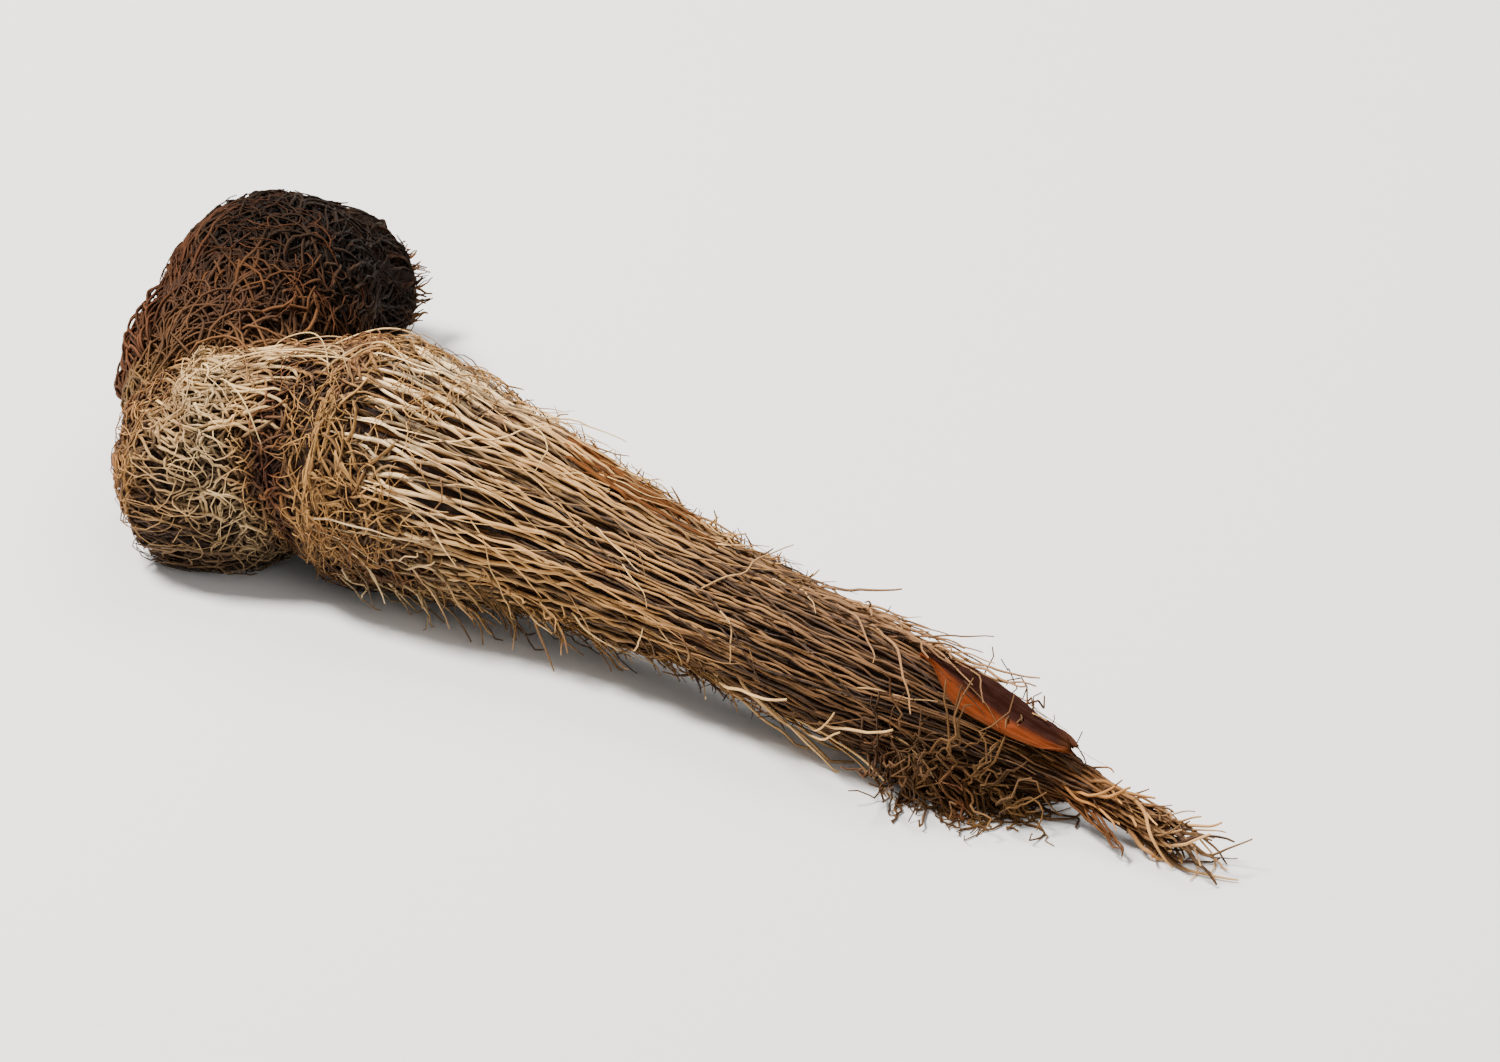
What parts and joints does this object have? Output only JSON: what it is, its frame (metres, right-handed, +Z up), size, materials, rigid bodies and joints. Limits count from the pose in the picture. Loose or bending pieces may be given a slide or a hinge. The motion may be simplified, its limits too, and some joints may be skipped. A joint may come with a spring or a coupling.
{
  "type": "spikenard root",
  "caption": "Dried spikenard root: a bent rhizome in a coat of parallel fibres, with a felted knob, a dark crown, a rust leaf sheath, curly rootlets and a thin brush at its tip.",
  "frame": {"origin": "on the surface that the root lies on, under the middle of its box", "axes": "+X along the root from the knob to the tip, +Y to the side where the crown bends back, +Z up"},
  "size_m": [0.0978, 0.0446, 0.0174],
  "materials": {
    "straw_coat": "matt dry plant fibre, straw to brown",
    "dark_crown": "matt dry plant fibre, nearly black",
    "rust_sheath": "thin papery scale with a slight sheen"
  },
  "bodies": {
    "root": {"rootstock": "straw_coat", "crown": "dark_crown", "leaf_sheath": "rust_sheath"}
  },
  "joints": []
}
